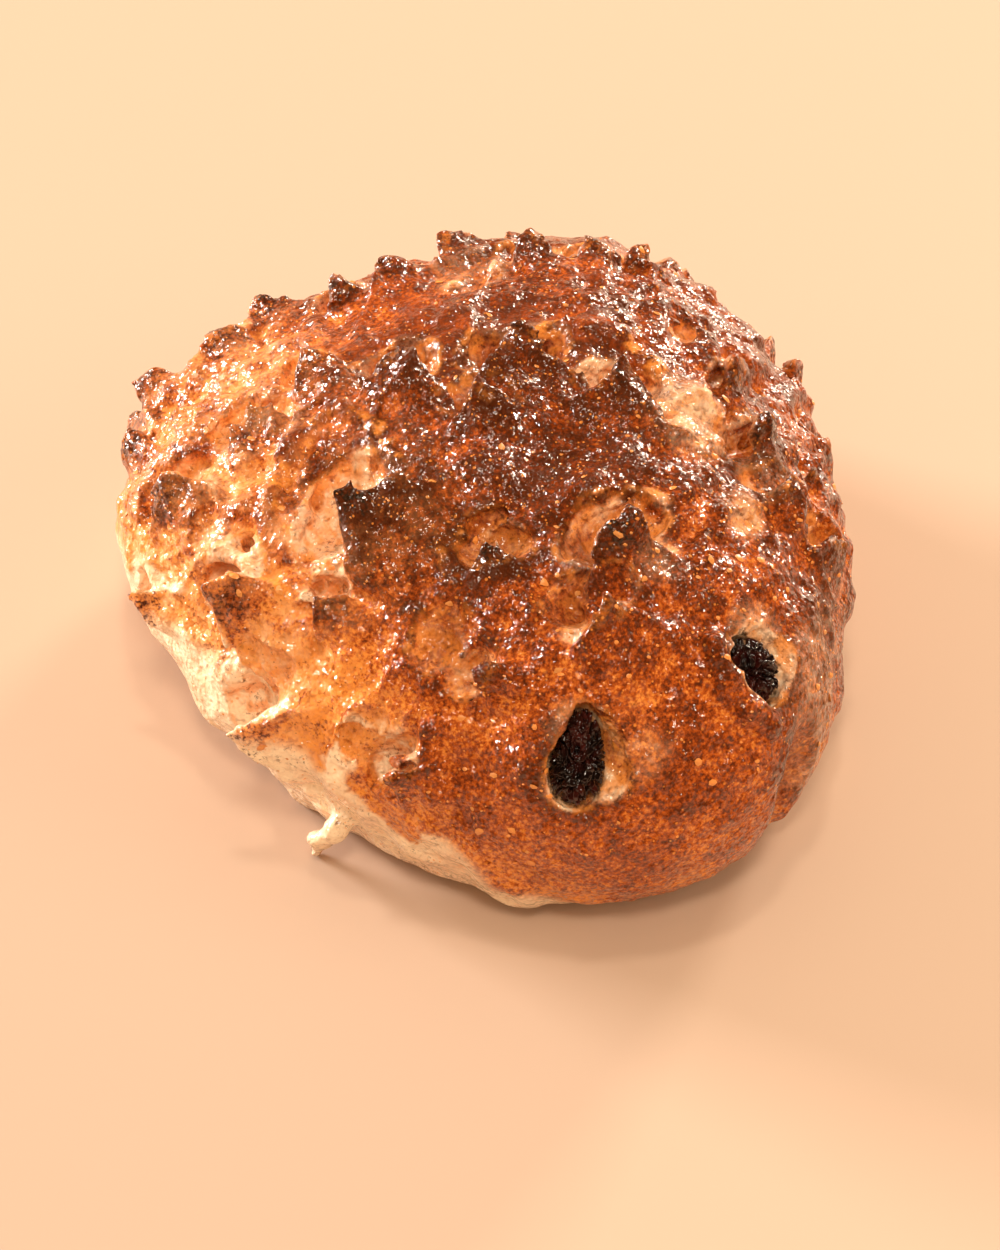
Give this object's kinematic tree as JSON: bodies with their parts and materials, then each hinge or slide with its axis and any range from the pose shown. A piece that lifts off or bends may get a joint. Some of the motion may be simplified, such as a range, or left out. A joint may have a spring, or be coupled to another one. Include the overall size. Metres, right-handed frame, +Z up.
{
  "type": "hedgehog bread roll",
  "caption": "Egg-shaped baked bread roll whose domed back is snipped into raised points like a hedgehog's spines, with two raisins set in its face as eyes and a flat base.",
  "frame": {"origin": "on the table under the middle of the roll's box", "axes": "+Z up, +Y towards the tail and along the roll's length, -Y towards the snout, +X towards the hedgehog's own left side"},
  "size_m": [0.104, 0.1147, 0.0547],
  "materials": {
    "crust": "satin",
    "raisin": "satin"
  },
  "bodies": {
    "root": {"roll": "crust", "raisin_eye_right": "raisin", "raisin_eye_left": "raisin"}
  },
  "joints": []
}
